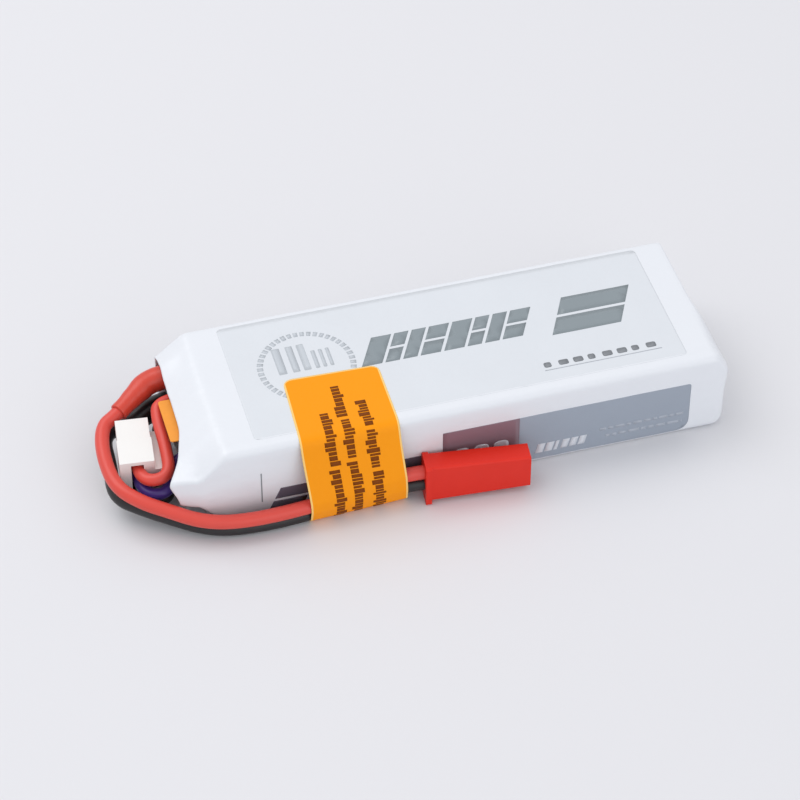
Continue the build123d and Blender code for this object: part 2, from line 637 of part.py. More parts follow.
# ---- seal label -----------------------------------------------------------------------------------
with BuildPart() as seal_label:
    half = LABEL_THICKNESS / 2
    side_y = -BODY_WIDTH / 2 - half
    outer_y = side_y - LABEL_BULGE
    with BuildSketch(across(LABEL_X - LABEL_WIDTH / 2, 0)):
        with BuildLine():
            FilletPolyline(
                (-BODY_WIDTH / 2 + LABEL_TOP_REACH, BODY_HEIGHT + half),
                (side_y, BODY_HEIGHT + half),
                (side_y, LABEL_HIGH_Z),
                (outer_y, LABEL_OUT_Z),
                (outer_y, LABEL_IN_Z),
                (side_y - LABEL_FOOT, half),
                (-BODY_WIDTH / 2 + LABEL_UNDER_REACH, half),
                radius=[BODY_CORNER + half] + [LABEL_BEND] * 3 + [LABEL_FOOT_BEND],
            )
        trace(line_width=LABEL_THICKNESS)
    extrude(amount=LABEL_WIDTH)
finish(seal_label, "seal_label")
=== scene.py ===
import math
import random

import bmesh
import bpy
from mathutils import Matrix, Vector, noise
from mathutils.bvhtree import BVHTree


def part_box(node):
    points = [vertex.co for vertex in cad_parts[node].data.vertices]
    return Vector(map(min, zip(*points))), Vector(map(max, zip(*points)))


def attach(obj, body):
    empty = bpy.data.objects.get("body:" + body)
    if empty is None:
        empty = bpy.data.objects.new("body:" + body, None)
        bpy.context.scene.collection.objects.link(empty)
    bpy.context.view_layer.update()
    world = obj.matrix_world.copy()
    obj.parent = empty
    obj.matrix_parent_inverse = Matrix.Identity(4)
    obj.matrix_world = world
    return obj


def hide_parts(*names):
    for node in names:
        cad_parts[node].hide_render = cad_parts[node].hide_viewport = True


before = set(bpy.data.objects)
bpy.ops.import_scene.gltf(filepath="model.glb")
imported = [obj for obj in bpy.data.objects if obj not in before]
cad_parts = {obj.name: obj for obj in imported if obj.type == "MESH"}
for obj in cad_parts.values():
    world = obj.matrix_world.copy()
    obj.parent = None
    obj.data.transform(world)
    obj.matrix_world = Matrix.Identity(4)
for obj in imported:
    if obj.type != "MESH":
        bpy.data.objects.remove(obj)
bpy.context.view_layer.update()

# A two-cell lithium polymer pack.  The frame is the CAD's: X along the pack towards its closed
# end, -Y the side along which the leads lie, Z up.  Sizes below are in millimetres, and MM turns
# them into Blender's metres.
MM = 0.001
ROOT = "root"
random.seed(7)


def from_srgb(red, green, blue):
    """An 8-bit screen colour as the linear colour that a shader takes."""
    linear = []
    for part in (red, green, blue):
        share = part / 255
        linear.append(share / 12.92 if share <= 0.04045 else ((share + 0.055) / 1.055) ** 2.4)
    return (*linear, 1.0)


# ---- dimensions read from the frame ---------------------------------------------------------
def box_mm(node):
    low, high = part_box(node)
    return [c / MM for c in low], [c / MM for c in high]


WRAP_HIGH = box_mm("shrink_wrap")[1]
HALF_WIDTH = WRAP_HIGH[1]
BODY_TOP = WRAP_HIGH[2]
BODY_MID = BODY_TOP / 2
LEAD_RIDGE = -42.5            # where the lead-end taper starts
CLOSED_RIDGE = 42.5
END_X = WRAP_HIGH[0]
FILM = 0.3
LABEL_LOW, LABEL_HIGH = box_mm("seal_label")


# ---- materials --------------------------------------------------------------------------------
def material(name, colour, roughness, metallic=0.0, mottle=0.05, mottle_size=6.0, grain=0.12,
             grain_size=0.5, rough_spread=0.06, stretch=(1, 1, 1), specular=0.5):
    """A shader with fine colour mottling, uneven roughness and surface grain, all in object space."""
    made = bpy.data.materials.new(name)
    made.use_nodes = True
    nodes, links = made.node_tree.nodes, made.node_tree.links
    shader = nodes["Principled BSDF"]
    shader.inputs["Metallic"].default_value = metallic
    shader.inputs["Specular IOR Level"].default_value = specular
    place = nodes.new("ShaderNodeTexCoord")
    spread = nodes.new("ShaderNodeMapping")
    spread.inputs["Scale"].default_value = stretch
    links.new(place.outputs["Object"], spread.inputs["Vector"])

    def cloud(size, detail):
        texture = nodes.new("ShaderNodeTexNoise")
        texture.inputs["Scale"].default_value = 1 / (size * MM)
        texture.inputs["Detail"].default_value = detail
        links.new(spread.outputs["Vector"], texture.inputs["Vector"])
        return texture

    tone = nodes.new("ShaderNodeMix")
    tone.data_type = "RGBA"
    darker = [c * (1 - mottle) for c in colour[:3]]
    lighter = [min(1.0, c * (1 + mottle)) for c in colour[:3]]
    tone.inputs["A"].default_value = (*darker, 1.0)
    tone.inputs["B"].default_value = (*lighter, 1.0)
    links.new(cloud(mottle_size, 3).outputs["Fac"], tone.inputs["Factor"])
    links.new(tone.outputs["Result"], shader.inputs["Base Color"])
    uneven = nodes.new("ShaderNodeMapRange")
    uneven.inputs["To Min"].default_value = roughness - rough_spread
    uneven.inputs["To Max"].default_value = roughness + rough_spread
    links.new(cloud(mottle_size * 0.6, 4).outputs["Fac"], uneven.inputs["Value"])
    links.new(uneven.outputs["Result"], shader.inputs["Roughness"])
    bump = nodes.new("ShaderNodeBump")
    bump.inputs["Strength"].default_value = grain
    bump.inputs["Distance"].default_value = grain_size * 0.2 * MM
    links.new(cloud(grain_size, 2).outputs["Fac"], bump.inputs["Height"])
    links.new(bump.outputs["Normal"], shader.inputs["Normal"])
    return made


WHITE_FILM = material("white_film", from_srgb(231, 234, 239), 0.34, mottle=0.012, mottle_size=14,
                      grain=0.25, grain_size=2.2, rough_spread=0.05, stretch=(0.6, 1, 1))


def ink(name, colour):
    """Ink printed on the film: the film's own gloss under a flat colour."""
    return material(name, colour, 0.36, mottle=0.03, mottle_size=9, grain=0.2, grain_size=1.8)


PANEL_INK = ink("panel_ink", from_srgb(221, 225, 230))
BADGE_INK = ink("badge_ink", from_srgb(196, 202, 208))
BLOCK_INK = ink("block_ink", from_srgb(138, 148, 153))
DASH_INK = ink("dash_ink", from_srgb(132, 136, 141))
HAIRLINE_INK = ink("hairline_ink", from_srgb(178, 183, 190))
BAND_INK = ink("band_ink", from_srgb(156, 165, 178))
MAROON_INK = ink("maroon_ink", from_srgb(138, 112, 122))
PALE_INK = ink("pale_ink", from_srgb(218, 222, 229))
FAINT_INK = ink("faint_ink", from_srgb(176, 183, 194))
DARK_INK = ink("dark_ink", from_srgb(96, 90, 102))

LABEL_FACE = material("label_face", from_srgb(255, 156, 0), 0.5, mottle=0.03, mottle_size=10,
                      grain=0.25, grain_size=0.8, specular=0.2)
LABEL_EDGE = material("label_edge", from_srgb(255, 208, 120), 0.55, mottle=0.04, mottle_size=2,
                      grain=0.3, grain_size=0.4)
LABEL_MARK = material("label_mark", from_srgb(128, 64, 4), 0.55, mottle=0.1, mottle_size=2,
                      grain=0.2, grain_size=0.4, specular=0.15)
RED_SILICONE = material("red_silicone", from_srgb(222, 74, 62), 0.36, mottle=0.05, mottle_size=5,
                        grain=0.2, grain_size=0.35)
BLACK_SILICONE = material("black_silicone", from_srgb(34, 32, 34), 0.38, mottle=0.12, mottle_size=5,
                          grain=0.2, grain_size=0.35)
VIOLET_SILICONE = material("violet_silicone", from_srgb(74, 50, 138), 0.34, mottle=0.08,
                           mottle_size=4, grain=0.2, grain_size=0.35)
RED_SLEEVE = material("red_sleeve", from_srgb(214, 68, 50), 0.33, mottle=0.06, mottle_size=3,
                      grain=0.3, grain_size=0.7)
BLACK_SLEEVE = material("black_sleeve", from_srgb(30, 29, 31), 0.35, mottle=0.1, mottle_size=3,
                        grain=0.3, grain_size=0.7)
RED_NYLON = material("red_nylon", from_srgb(224, 38, 18), 0.42, mottle=0.04, mottle_size=5,
                     grain=0.22, grain_size=0.25, specular=0.35)
WHITE_NYLON = material("white_nylon", from_srgb(244, 242, 239), 0.45, mottle=0.02, mottle_size=5,
                       grain=0.25, grain_size=0.3)
ORANGE_CARD = material("orange_card", from_srgb(246, 158, 50), 0.6, mottle=0.07, mottle_size=1.5,
                       grain=0.4, grain_size=0.3)
DARK_CARD = material("dark_card", from_srgb(78, 78, 82), 0.8, mottle=0.12, mottle_size=1.2,
                     grain=0.5, grain_size=0.35)
FOIL = material("foil", from_srgb(206, 208, 212), 0.34, metallic=0.85, mottle=0.04, mottle_size=5,
                grain=0.3, grain_size=1.2)
ELECTRODES = material("electrodes", from_srgb(58, 58, 62), 0.8, mottle=0.1, mottle_size=2,
                      grain=0.4, grain_size=0.4)
ALUMINIUM = material("aluminium", from_srgb(222, 222, 224), 0.3, metallic=1.0, mottle=0.03,
                     grain=0.25, grain_size=0.4, stretch=(0.2, 1, 1))
NICKEL = material("nickel", from_srgb(205, 200, 190), 0.28, metallic=1.0, mottle=0.03,
                  grain=0.25, grain_size=0.4, stretch=(0.2, 1, 1))
SEALANT = material("sealant", from_srgb(224, 222, 206), 0.42, grain=0.3, grain_size=0.5)
TISSUE_TAPE = material("tissue_tape", from_srgb(232, 230, 222), 0.85, grain=0.5, grain_size=0.4)
AMBER_TAPE = material("amber_tape", from_srgb(206, 138, 30), 0.25, mottle=0.06, grain=0.2)
SOLDER = material("solder_metal", from_srgb(196, 197, 200), 0.3, metallic=1.0, mottle=0.08,
                  mottle_size=0.8, grain=0.5, grain_size=0.5)
STRAND = material("tinned_strand", from_srgb(205, 182, 158), 0.35, metallic=1.0, mottle=0.1,
                  mottle_size=0.4, grain=0.8, grain_size=0.2, stretch=(0.15, 1, 1))
TIN_PLATE = material("tin_plate", from_srgb(214, 208, 192), 0.25, metallic=1.0, grain=0.2,
                     grain_size=0.3)

for node, finish in {
    "lower_cell_pouch": FOIL,
    "upper_cell_pouch": FOIL,
    "lower_cell_electrode_stack": ELECTRODES,
    "upper_cell_electrode_stack": ELECTRODES,
    "lower_cell_positive_tab": ALUMINIUM,
    "upper_cell_positive_tab": ALUMINIUM,
    "lower_cell_negative_tab": NICKEL,
    "upper_cell_negative_tab": NICKEL,
    "tab_sealant_strips": SEALANT,
    "cell_bonding_tape": TISSUE_TAPE,
    "cell_binding_tape": AMBER_TAPE,
    "closed_end_card": DARK_CARD,
    "solder_joints": SOLDER,
    "main_lead_conductors": STRAND,
    "balance_lead_conductors": STRAND,
    "main_plug_contacts": TIN_PLATE,
    "balance_plug_contacts": TIN_PLATE,
}.items():
    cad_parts[node].data.materials[0] = finish


# ---- mesh helpers -----------------------------------------------------------------------------
def mesh_piece(name, points, faces, finishes, finish_of=None):
    """A smooth-shaded mesh piece on the root body, from points in millimetres."""
    mesh = bpy.data.meshes.new(name)
    mesh.from_pydata([Vector(p) * MM for p in points], [], faces)
    for finish in finishes:
        mesh.materials.append(finish)
    if finish_of:
        for polygon, which in zip(mesh.polygons, finish_of):
            polygon.material_index = which
    tidy = bmesh.new()
    tidy.from_mesh(mesh)
    bmesh.ops.recalc_face_normals(tidy, faces=tidy.faces)
    tidy.to_mesh(mesh)
    tidy.free()
    mesh.shade_smooth()
    piece = bpy.data.objects.new(name, mesh)
    bpy.context.scene.collection.objects.link(piece)
    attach(piece, ROOT)
    return piece


def thicken(piece, thickness, offset):
    """Give a sheet its real thickness: offset -1 grows it inwards, 1 outwards."""
    solid = piece.modifiers.new("thickness", "SOLIDIFY")
    solid.thickness = thickness * MM
    solid.offset = offset
    solid.use_even_offset = False


def grid_faces(rows, columns, closed=False):
    """Quads between neighbouring rows of a grid of points."""
    faces = []
    for row in range(rows - 1):
        for column in range(columns if closed else columns - 1):
            right = (column + 1) % columns
            faces.append((
                row * columns + column,
                row * columns + right,
                (row + 1) * columns + right,
                (row + 1) * columns + column,
            ))
    return faces


def smoothstep(low, high, value):
    share = min(1.0, max(0.0, (value - low) / (high - low)))
    return share * share * (3 - 2 * share)


def soft_ramp(value, softness=0.5):
    """0 below zero and value above it, with a rounded bend."""
    return (value + math.sqrt(value * value + softness * softness)) / 2


# ---- shrink wrap ------------------------------------------------------------------------------
CORNER = 1.3
MOUTH_CORNER = 0.7            # the corners sharpen towards the mouth
SIDE_DRAW = 0.05              # how fast each side draws in past the lead ridge
MOUTH_DRAW = 0.27             # and how much faster near the mouth
MOUTH_DRAW_START = 4.0
TAPER_SLOPE = 0.638           # fall of the taper's top facet per millimetre
EAR_X = 4.3                   # the corner crease is lowest this far past the ridge
EAR_DROP = 2.7
REAR_EAR = 0.6                # the rear crease's share of the front one's drop
EAR_FADE = 0.93               # how much of the drop is gone EAR_FADE_REACH further on
EAR_FADE_REACH = 4.1
CURL_Y = 9.0                  # the facet curls down from here to its creases
LEAD_BUMP = 0.9               # the film stands up over the main leads
LEAD_BUMP_Y = 10.9
LEAD_BUMP_WIDTH = 2.6
UPPER_LIP = (-47.5, 3.6)      # X of the mouth's cut edge at its middle, and its front's reach past it
LOWER_LIP = (-47.6, 2.2)
LIP_WOBBLE = 0.12
MOUTH_PAST = 6.0              # the mouth, measured past the lead ridge
FOLD_Y = -13.2                # lengthwise fold that the film keeps from when it was flat
FOLD_HEIGHT = 0.07
FOLD_WIDTH = 0.32
TURN_INSET = 1.7              # how far the film draws in as it turns over the closed end
FLAP_REACH = 5.2              # the film turned over at the closed end
CLOSED_EAR = 0.55             # the closed end's front corner stands out
CLOSED_SETBACK = 2.0          # the closed end's top edge lies this far behind its front corner
SETBACK_WIDTH = 16            # all of it from here across the pack, measured from the front side
CLOSED_FALL = 2.6             # and its front corner is this much lower
LABEL_DENT = 0.15             # room for the label's end under the pack
LABEL_END_Y = -9.0
STRAIGHT = -90                # so far short of the taper that the section is the straight body's
TAPER_START = LEAD_RIDGE + 1.2
BODY_END = CLOSED_RIDGE - 0.8
TAPER_SHARES = [0, 0.06, 0.13, 0.21, 0.3, 0.39, 0.48, 0.57, 0.66, 0.75, 0.84, 0.92, 0.97, 1]
BODY_RUNS, TURN_RUNS, FLAP_RUNS = 96, 7, 9
TOP_RUNS, SIDE_RUNS, CORNER_RUNS = 56, 20, 6
FRONT, REAR = -1, 1


def half_width(past):
    return HALF_WIDTH - SIDE_DRAW * soft_ramp(past) - MOUTH_DRAW * soft_ramp(past - MOUTH_DRAW_START)


def corner_radius(past):
    return CORNER - (CORNER - MOUTH_CORNER) * smoothstep(-0.5, 3.2, past)


def ear_drop(past, side):
    """How far the top facet curls down towards its front or rear crease."""
    rising = min(past, EAR_X) / EAR_X
    falling = max(0.0, past - EAR_X) / EAR_FADE_REACH
    deepest = EAR_DROP if side == FRONT else REAR_EAR * EAR_DROP
    return max(0.0, deepest * (rising - EAR_FADE * falling))


def lip_x(y, lip):
    """Where the mouth's cut edge lies, over its width."""
    middle, front = lip
    toward_front = max(0.0, -(y + 1) / 13) ** 2 * front
    return middle - toward_front + LIP_WOBBLE * noise.noise(Vector((y * 0.35, 3.1, 0)))


def facet_height(past, y):
    """Height of the wrap over its mid plane."""
    side = FRONT if y < 0 else REAR
    curl = max(0.0, (abs(y) - CURL_Y) / (HALF_WIDTH - CURL_Y)) ** 1.5
    over_lead = LEAD_BUMP * math.exp(-((y - LEAD_BUMP_Y) / LEAD_BUMP_WIDTH) ** 2)
    over_lead *= smoothstep(1.0, 4.5, past)
    return BODY_MID - TAPER_SLOPE * soft_ramp(past) - ear_drop(past, side) * curl + over_lead


def ring_spots():
    """Each spot of a section: (which stretch, how far along it)."""
    spots = []
    for stretch, runs in (
        ("top", TOP_RUNS), ("top_front", CORNER_RUNS), ("front", SIDE_RUNS),
        ("bottom_front", CORNER_RUNS), ("bottom", TOP_RUNS), ("bottom_rear", CORNER_RUNS),
        ("rear", SIDE_RUNS), ("top_rear", CORNER_RUNS),
    ):
        spots += [(stretch, step / runs) for step in range(runs)]
    return spots


def section_point(stretch, share, past, inset=0.0):
    """A point of the wrap's section; past is how far beyond the lead ridge it lies."""
    radius = corner_radius(past)
    wide = half_width(past) - inset
    flat = wide - radius

    def edge(side):
        return facet_height(past, side * flat) - inset

    angle = share * math.pi / 2
    if stretch == "top":
        y = flat * (1 - 2 * share)
        return y, facet_height(past, y) - inset
    if stretch == "bottom":
        y = flat * (2 * share - 1)
        return y, inset - facet_height(past, y)
    if stretch == "top_front":
        return -flat - radius * math.sin(angle), edge(FRONT) - radius * (1 - math.cos(angle))
    if stretch == "bottom_front":
        return -flat - radius * math.cos(angle), radius * (1 - math.sin(angle)) - edge(FRONT)
    if stretch == "bottom_rear":
        return flat + radius * math.sin(angle), radius * (1 - math.cos(angle)) - edge(REAR)
    if stretch == "top_rear":
        return flat + radius * math.cos(angle), edge(REAR) - radius * (1 - math.sin(angle))
    side = FRONT if stretch == "front" else REAR
    straight = edge(side) - radius
    height = straight * (1 - 2 * share) if stretch == "front" else straight * (2 * share - 1)
    return side * wide, height


def film_ripple(x, y, z):
    """Unevenness of the shrunk film, stronger where it's drawn in at both ends."""
    slow = 0.07 * noise.noise(Vector((x * 0.055, y * 0.11, z * 0.13)))
    quick = 0.03 * noise.noise(Vector((x * 0.16, y * 0.3, z * 0.3 + 9)))
    drawn = smoothstep(34, 43, abs(x)) * 0.09 * noise.noise(Vector((x * 0.12, y * 0.55, z * 0.55)))
    return slow + quick + drawn


def top_share(z):
    """0 in the lower half and 1 near the top, with z from the mid plane."""
    return smoothstep(-2, 7, z)


def closed_fall(y, z):
    """How far the closed end's top has sunk towards its front corner."""
    return CLOSED_FALL * top_share(z) * smoothstep(-2, -14.5, y)


def taper_rows(spots):
    """From the mouth's lip to the straight body."""
    lips = []
    for stretch, share in spots:
        y, z = section_point(stretch, share, MOUTH_PAST)
        upper, lower = lip_x(y, UPPER_LIP), lip_x(y, LOWER_LIP)
        lips.append(lower + (upper - lower) * smoothstep(-3, 3, z))
    rows = []
    for share_out in reversed(TAPER_SHARES):
        row = []
        for (stretch, share), lip in zip(spots, lips):
            x = TAPER_START + (lip - TAPER_START) * share_out
            row.append((x, *section_point(stretch, share, LEAD_RIDGE - x)))
        rows.append(row)
    return rows


def body_rows(spots):
    """Along the straight body."""
    rows = []
    for run in range(1, BODY_RUNS + 1):
        x = TAPER_START + (BODY_END - TAPER_START) * run / BODY_RUNS
        rows.append([(x, *section_point(stretch, share, LEAD_RIDGE - x)) for stretch, share in spots])
    return rows


def turn_rows(spots):
    """The quarter turn over the closed end's edges."""
    rows = []
    for step in range(1, TURN_RUNS + 1):
        angle = step / TURN_RUNS * math.pi / 2
        inset = TURN_INSET * (1 - math.cos(angle))
        row = []
        for stretch, share in spots:
            y, z = section_point(stretch, share, STRAIGHT, inset)
            back = CLOSED_SETBACK * min(1.0, (y + HALF_WIDTH) / SETBACK_WIDTH)
            reach = END_X - BODY_END + top_share(z) * (CLOSED_EAR - back)
            x = BODY_END + reach * math.sin(angle)
            row.append((x, y, z - closed_fall(y, z) * math.sin(angle)))
        rows.append(row)
    return rows


def flap_rows(spots, turned):
    """The film gathered over the closed end, from the last turned row to its free edge."""
    rows = []
    for step in range(1, FLAP_RUNS + 1):
        reach = step / FLAP_RUNS
        inset = TURN_INSET + (FLAP_REACH - TURN_INSET) * reach
        shrink_y = (HALF_WIDTH - inset) / (HALF_WIDTH - TURN_INSET)
        shrink_z = (BODY_MID - inset) / (BODY_MID - TURN_INSET)
        row = []
        for (stretch, share), outer in zip(spots, turned):
            y, z = section_point(stretch, share, STRAIGHT, TURN_INSET)
            gather = noise.noise(Vector((y * 0.7, z * 0.7, 5.5)))
            pleat = noise.noise(Vector((y * 1.9, z * 1.9, 1.5)))
            x = outer[0] + (0.10 * gather + 0.08 * pleat) * (1 if step > 1 else 0.3) - 0.02
            row.append((x, y * shrink_y, z * shrink_z - closed_fall(y, z) * (1 - 0.8 * reach)))
        rows.append(row)
    return rows


def settled(x, y, z):
    """A point with the film's ripples, its old fold and the dent under the label's end."""
    lift = film_ripple(x, y, z)
    if x < CLOSED_RIDGE:
        y += math.copysign(lift, y) * (abs(y) > HALF_WIDTH - 2.5) * 0.8
        z += math.copysign(lift, z) * (abs(z) > 2)
    fold = math.exp(-((y - FOLD_Y) / FOLD_WIDTH) ** 2) * smoothstep(-43, -40, x)
    fold *= smoothstep(43, 39, x)
    if z > 0:
        z += FOLD_HEIGHT * fold
    else:
        z = max(z, -BODY_MID)
    under_label = (
        smoothstep(LABEL_LOW[0] - 0.4, LABEL_LOW[0], x)
        * smoothstep(LABEL_HIGH[0] + 0.4, LABEL_HIGH[0], x)
        * smoothstep(LABEL_END_Y + 0.6, LABEL_END_Y + 0.1, y)
    )
    if z < 2 - BODY_MID:
        z += LABEL_DENT * under_label
    return x, y, z + BODY_MID


def wrap_points():
    """All the wrap's points, row by row from the mouth, and how many rows and spots there are."""
    spots = ring_spots()
    turned = turn_rows(spots)
    rows = taper_rows(spots) + body_rows(spots) + turned + flap_rows(spots, turned[-1])
    return [settled(*point) for row in rows for point in row], len(rows), len(spots)


wrap_mesh_points, wrap_rows, wrap_columns = wrap_points()
wrap = mesh_piece("printed_shrink_film", wrap_mesh_points,
                  grid_faces(wrap_rows, wrap_columns, closed=True), [WHITE_FILM])
thicken(wrap, FILM, -1)
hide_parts("shrink_wrap")

wrap_tree = BVHTree.FromPolygons([v.co for v in wrap.data.vertices],
                                 [tuple(p.vertices) for p in wrap.data.polygons])


def on_top(x, y):
    """The film's surface under a place on the top face."""
    hit = wrap_tree.ray_cast(Vector((x, y, 40)) * MM, Vector((0, 0, -1)))[0]
    return hit / MM


def on_front(x, z):
    """The film's surface behind a place on the front side."""
    hit = wrap_tree.ray_cast(Vector((x, -40, z)) * MM, Vector((0, 1, 0)))[0]
    return hit / MM


# ---- print ------------------------------------------------------------------------------------
PRINT_CELL = 1.6              # the print is cut this fine, so that it follows the film
CORNER_CELL = 0.3             # and finer up the front side, for its rounded foot
INK_THICKNESS = 0.05


def printed(name, outlines, side, finish, lift):
    """Thin solid ink on the film from flat outlines: (x, y) on top, (x, z) on the front side."""
    flat = bmesh.new()
    for outline in outlines:
        flat.faces.new([flat.verts.new((a, b, 0)) for a, b in outline])
    for axis in (0, 1):
        values = [v.co[axis] for v in flat.verts]
        cell = CORNER_CELL if side == "front" and axis == 1 else PRINT_CELL
        line = math.ceil(min(values) / cell) * cell
        while line < max(values):
            place, normal = Vector(), Vector()
            place[axis], normal[axis] = line, 1
            every = flat.verts[:] + flat.edges[:] + flat.faces[:]
            bmesh.ops.bisect_plane(flat, geom=every, plane_co=place, plane_no=normal, dist=1e-5)
            line += cell
    points = []
    for v in flat.verts:
        if side == "top":
            points.append(on_top(v.co.x, v.co.y) + Vector((0, 0, lift)))
        else:
            points.append(on_front(v.co.x, v.co.y) - Vector((0, lift, 0)))
    flat.verts.index_update()
    faces = [tuple(v.index for v in f.verts) for f in flat.faces]
    flat.free()
    piece = mesh_piece(name, points, faces, [finish])
    thicken(piece, INK_THICKNESS, -1 if facing_out(piece, side) else 1)


def facing_out(piece, side):
    """Whether the sheet's faces look out of the pack, which says which way to thicken it."""
    normal = piece.data.polygons[0].normal
    return normal.z > 0 if side == "top" else normal.y < 0


def slanted(left, right, low, high, lean):
    """A parallelogram whose sides lean by that share of the height."""
    return [
        (left + lean * low, low), (right + lean * low, low),
        (right + lean * high, high), (left + lean * high, high),
    ]


def rounded(left, right, low, high, radii):
    """A rectangle with its own radius at each corner: low left, low right, high right, high left."""
    outline = []
    centres = [
        (left, low, 180, 1, 1), (right, low, 270, -1, 1),
        (right, high, 0, -1, -1), (left, high, 90, 1, -1),
    ]
    for (x, y, angle, sx, sy), radius in zip(centres, radii):
        if radius == 0:
            outline.append((x, y))
            continue
        for step in range(7):
            turn = math.radians(angle + 15 * step)
            outline.append((
                x + sx * radius + radius * math.cos(turn),
                y + sy * radius + radius * math.sin(turn),
            ))
    return outline


# Places below are left, right, low and high, along X and across the face.
LIFTS = {"panel": 0.012, "block": 0.035, "over": 0.055}
TOP_PANEL = (-37, 37, -13.3, 14.0)

printed("top_print_panel", [rounded(*TOP_PANEL, [0.8] * 4)], "top", PANEL_INK, LIFTS["panel"])

# round badge: a ring of short dashes and six upright bars
RING = (-24.5, 1.4)
RING_INNER, RING_OUTER, RING_DASHES = 7.25, 8.25, 44
DASH_SHARE = 0.32             # half of a dash's share of its step round the ring
BADGE_FOOT, BADGE_ROUND = -1.0, 0.15
BADGE_BARS = (                # left, right and top of each bar, from the ring's centre
    (-4.9, -3.5, 5.3), (-2.5, -1.3, 5.3), (-0.6, 0.6, 5.3),
    (1.4, 2.1, 3.3), (2.7, 3.3, 3.3), (3.9, 4.5, 3.3),
)
dashes = []
for index in range(RING_DASHES):
    middle = 2 * math.pi * index / RING_DASHES
    half = DASH_SHARE * 2 * math.pi / RING_DASHES
    dashes.append([
        (RING[0] + radius * math.cos(angle), RING[1] + radius * math.sin(angle))
        for radius, angle in (
            (RING_INNER, middle - half), (RING_OUTER, middle - half),
            (RING_OUTER, middle + half), (RING_INNER, middle + half),
        )
    ])
bars = [
    rounded(RING[0] + left, RING[0] + right, RING[1] + BADGE_FOOT, RING[1] + top, [BADGE_ROUND] * 4)
    for left, right, top in BADGE_BARS
]
printed("badge_print", dashes + bars, "top", BADGE_INK, LIFTS["block"])

# heavy slanted blocks, each with a slit, and a stack of two bars
ROW_LOW, ROW_HIGH, ROW_LEAN = -1.4, 5.0, 0.52
ROW_BLOCKS = ((-15.1, -8.6), (-8.0, -1.5), (-0.9, 5.6), (6.2, 12.8))
SLIT = 0.55
EARLY_SLIT, LATE_SLIT = 0.42, 0.58      # where the slit lies across a block
STACK_LEFT, STACK_RIGHT, STACK_LEAN = 18.2, 30.3, 0.5
STACK_BARS = ((-2.7, 1.25), (1.85, 5.8))
blocks = []
for number, (left, right) in enumerate(ROW_BLOCKS):
    waist = left + (right - left) * (EARLY_SLIT if number % 2 else LATE_SLIT)
    middle = (ROW_LOW + ROW_HIGH) / 2
    blocks.append(slanted(left, waist - SLIT / 2, ROW_LOW, ROW_HIGH, ROW_LEAN))
    blocks.append(slanted(waist + SLIT / 2, right, ROW_LOW, middle - SLIT / 2, ROW_LEAN))
    blocks.append(slanted(waist + SLIT / 2, right, middle + SLIT / 2, ROW_HIGH, ROW_LEAN))
for low, high in STACK_BARS:
    blocks.append(slanted(STACK_LEFT, STACK_RIGHT, low, high, STACK_LEAN))
printed("block_print", blocks, "top", BLOCK_INK, LIFTS["block"])

# a row of small dark marks over a hairline
MARK_START, MARK_STEP, MARK_COUNT = 13.2, 2.55, 8
MARK_LOW, MARK_HIGH, MARK_ROUND = -9.95, -8.75, 0.35
WIDE_MARK, NARROW_MARK = 1.7, 1.25
HAIRLINE = (13.0, 33.4, -10.65, -10.5)
marks = []
for step in range(MARK_COUNT):
    left = MARK_START + MARK_STEP * step
    wide = WIDE_MARK if step % 3 else NARROW_MARK
    marks.append(rounded(left, left + wide, MARK_LOW, MARK_HIGH, [MARK_ROUND] * 4))
printed("small_mark_print", marks, "top", DASH_INK, LIFTS["block"])
printed("hairline_print", [rounded(*HAIRLINE, [0] * 4)], "top", HAIRLINE_INK, LIFTS["block"])

# the grey band of the front side
BAND = (-6.0, 37.2, 0.85, 11.3)
MAROON = (-6.0, 7.2, 0.87, 11.3)
PALE_LEFTS, PALE_WIDTH, PALE_LOW, PALE_HIGH, PALE_ROUND = (-4.0, -0.6, 2.8), 2.6, 4.5, 7.0, 0.9
SLIM_LEAN = 0.25
SLIM_MARKS = (                # left, width, low and high
    (9.5, 1.3, 2.3, 4.3), (11.1, 1.3, 2.3, 4.3), (12.7, 0.6, 2.3, 4.3),
    (13.9, 1.2, 2.4, 4.3), (15.4, 1.2, 2.4, 4.3), (16.9, 1.2, 2.4, 4.3),
)
FINE_LINES = ((4.5, 5.1, 21.3, 36.2), (2.8, 3.4, 22.4, 36.0))      # low, high, first and last X
FINE_GAP, FINE_ROUND = 0.35, 0.12
RULE = (-36.8, -36.6, 4.0, 10.6)
# the last block, beside the label's right edge, is dark up to 7.3 where the others stop at 6.4
SIDE_BLOCKS = ((-36.4, 6.4), (-30.0, 6.4), (-23.6, 6.4), (-17.2, 7.3))   # left and top
SIDE_BLOCK_WIDTH, SIDE_BLOCK_LEAN = 5.8, 0.45
SIDE_BLOCK_LOW, SIDE_SLIT_LOW, SIDE_SLIT_HIGH = 1.6, 3.6, 4.1

printed("side_band_print", [rounded(*BAND, [0, 2.2, 0.5, 0])], "front", BAND_INK, LIFTS["panel"])
printed("side_maroon_print", [rounded(*MAROON, [0] * 4)], "front", MAROON_INK, LIFTS["block"])
pale = [
    rounded(left, left + PALE_WIDTH, PALE_LOW, PALE_HIGH, [PALE_ROUND] * 4) for left in PALE_LEFTS
]
pale += [slanted(left, left + wide, low, high, SLIM_LEAN) for left, wide, low, high in SLIM_MARKS]
printed("side_pale_print", pale, "front", PALE_INK, LIFTS["over"])
fine = []
for low, high, first, last in FINE_LINES:
    left = first
    while left < last:
        long = random.uniform(0.7, 2.2)
        fine.append(rounded(left, min(last, left + long), low, high, [FINE_ROUND] * 4))
        left += long + FINE_GAP
printed("side_fine_print", fine, "front", FAINT_INK, LIFTS["block"])
printed("side_rule_print", [rounded(*RULE, [0] * 4)], "front", BLOCK_INK, LIFTS["block"])
side_blocks = []
